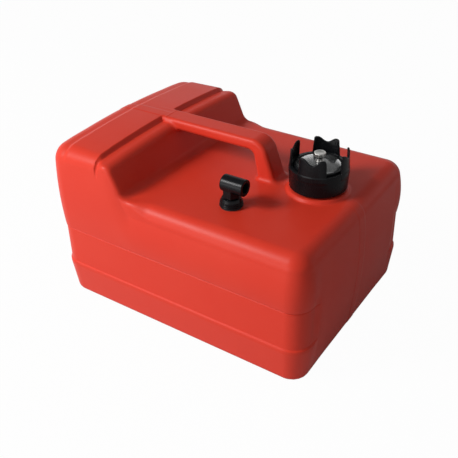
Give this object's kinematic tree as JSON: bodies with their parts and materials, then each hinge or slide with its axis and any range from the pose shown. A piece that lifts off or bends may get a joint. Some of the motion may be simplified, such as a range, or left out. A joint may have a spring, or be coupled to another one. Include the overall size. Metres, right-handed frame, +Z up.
{
  "type": "portable fuel tank",
  "caption": "Moulded portable outboard fuel tank with a carrying handle, a screw cap with sight gauge and vent, and a swivelling hose elbow with dip tube.",
  "frame": {"origin": "centre of the bottom face, on the surface that the tank stands on", "axes": "+X along the tank's length towards the filler cap, +Y away from the pickup elbow's side, +Z up"},
  "size_m": [0.3527, 0.2674, 0.215],
  "materials": {
    "red_polyethylene": "satin moulded polyethylene",
    "black_nylon": "satin black moulded nylon",
    "nitrile_rubber": "matt black rubber",
    "clear_acrylic": "clear polished acrylic",
    "pale_dial": "pale printed plastic",
    "orange_pointer": "orange plastic",
    "stainless_steel": "drawn stainless steel",
    "plated_brass": "plated and knurled",
    "nitrile_foam": "closed-cell black foam",
    "natural_nylon": "natural nylon"
  },
  "bodies": {
    "tank": {"tank_shell": "red_polyethylene", "pickup_gasket": "nitrile_rubber", "pickup_nut": "black_nylon", "elbow_retaining_clip": "stainless_steel", "elbow_o_ring": "nitrile_rubber", "pickup_tube": "natural_nylon", "pickup_strainer": "natural_nylon"},
    "elbow": {"pickup_elbow": "black_nylon"},
    "cap_seal": {"cap_gasket": "nitrile_rubber"},
    "gauge": {"gauge_housing": "black_nylon", "lens_gasket": "nitrile_rubber", "gauge_lens": "clear_acrylic", "lens_bezel": "black_nylon", "gauge_dial": "pale_dial", "vent_sleeve": "stainless_steel", "gauge_guide_rod_left": "stainless_steel", "gauge_guide_rod_right": "stainless_steel", "gauge_end_bar": "black_nylon"},
    "collar": {"cap_collar": "black_nylon"},
    "float": {"gauge_float": "nitrile_foam", "float_drive_plate": "stainless_steel"},
    "strip": {"gauge_twist_strip": "stainless_steel", "gauge_pointer": "orange_pointer"},
    "vent_seal": {"vent_o_ring": "nitrile_rubber"},
    "vent": {"vent_screw": "plated_brass"}
  },
  "joints": [
    {"name": "elbow_swivel", "type": "hinge", "parent": "tank", "child": "elbow", "pos_m": [0.0496, -0.074, 0.175], "axis": [0, 0, 1], "continuous": true},
    {"name": "cap_lift", "type": "slide", "parent": "tank", "child": "cap_seal", "axis": [0, 0, 1], "range_m": [0, 0.185]},
    {"name": "cap_rise", "type": "slide", "parent": "cap_seal", "child": "gauge", "axis": [0, 0, 1], "range_m": [0, 0.012]},
    {"name": "cap_turn", "type": "hinge", "parent": "gauge", "child": "collar", "pos_m": [0.113, 0.008, 0.168], "axis": [0, 0, 1], "range_deg": [0, 720]},
    {"name": "float_rise", "type": "slide", "parent": "gauge", "child": "float", "axis": [0, 0, 1], "range_m": [0, 0.1114]},
    {"name": "strip_turn", "type": "hinge", "parent": "gauge", "child": "strip", "pos_m": [0.113, 0.008, 0.168], "axis": [0, 0, 1], "range_deg": [0, 270]},
    {"name": "vent_rise", "type": "slide", "parent": "gauge", "child": "vent_seal", "axis": [0, 0, 1], "range_m": [0, 0.002]},
    {"name": "vent_turn", "type": "hinge", "parent": "vent_seal", "child": "vent", "pos_m": [0.113, 0.008, 0.168], "axis": [0, 0, 1], "range_deg": [0, 720]}
  ],
  "couplings": [
    {"joint": "cap_rise", "follows": "cap_turn", "m_per_rad": 0.0009549},
    {"joint": "strip_turn", "follows": "float_rise", "rad_per_m": 42.301},
    {"joint": "vent_rise", "follows": "vent_turn", "m_per_rad": 0.00015915}
  ]
}
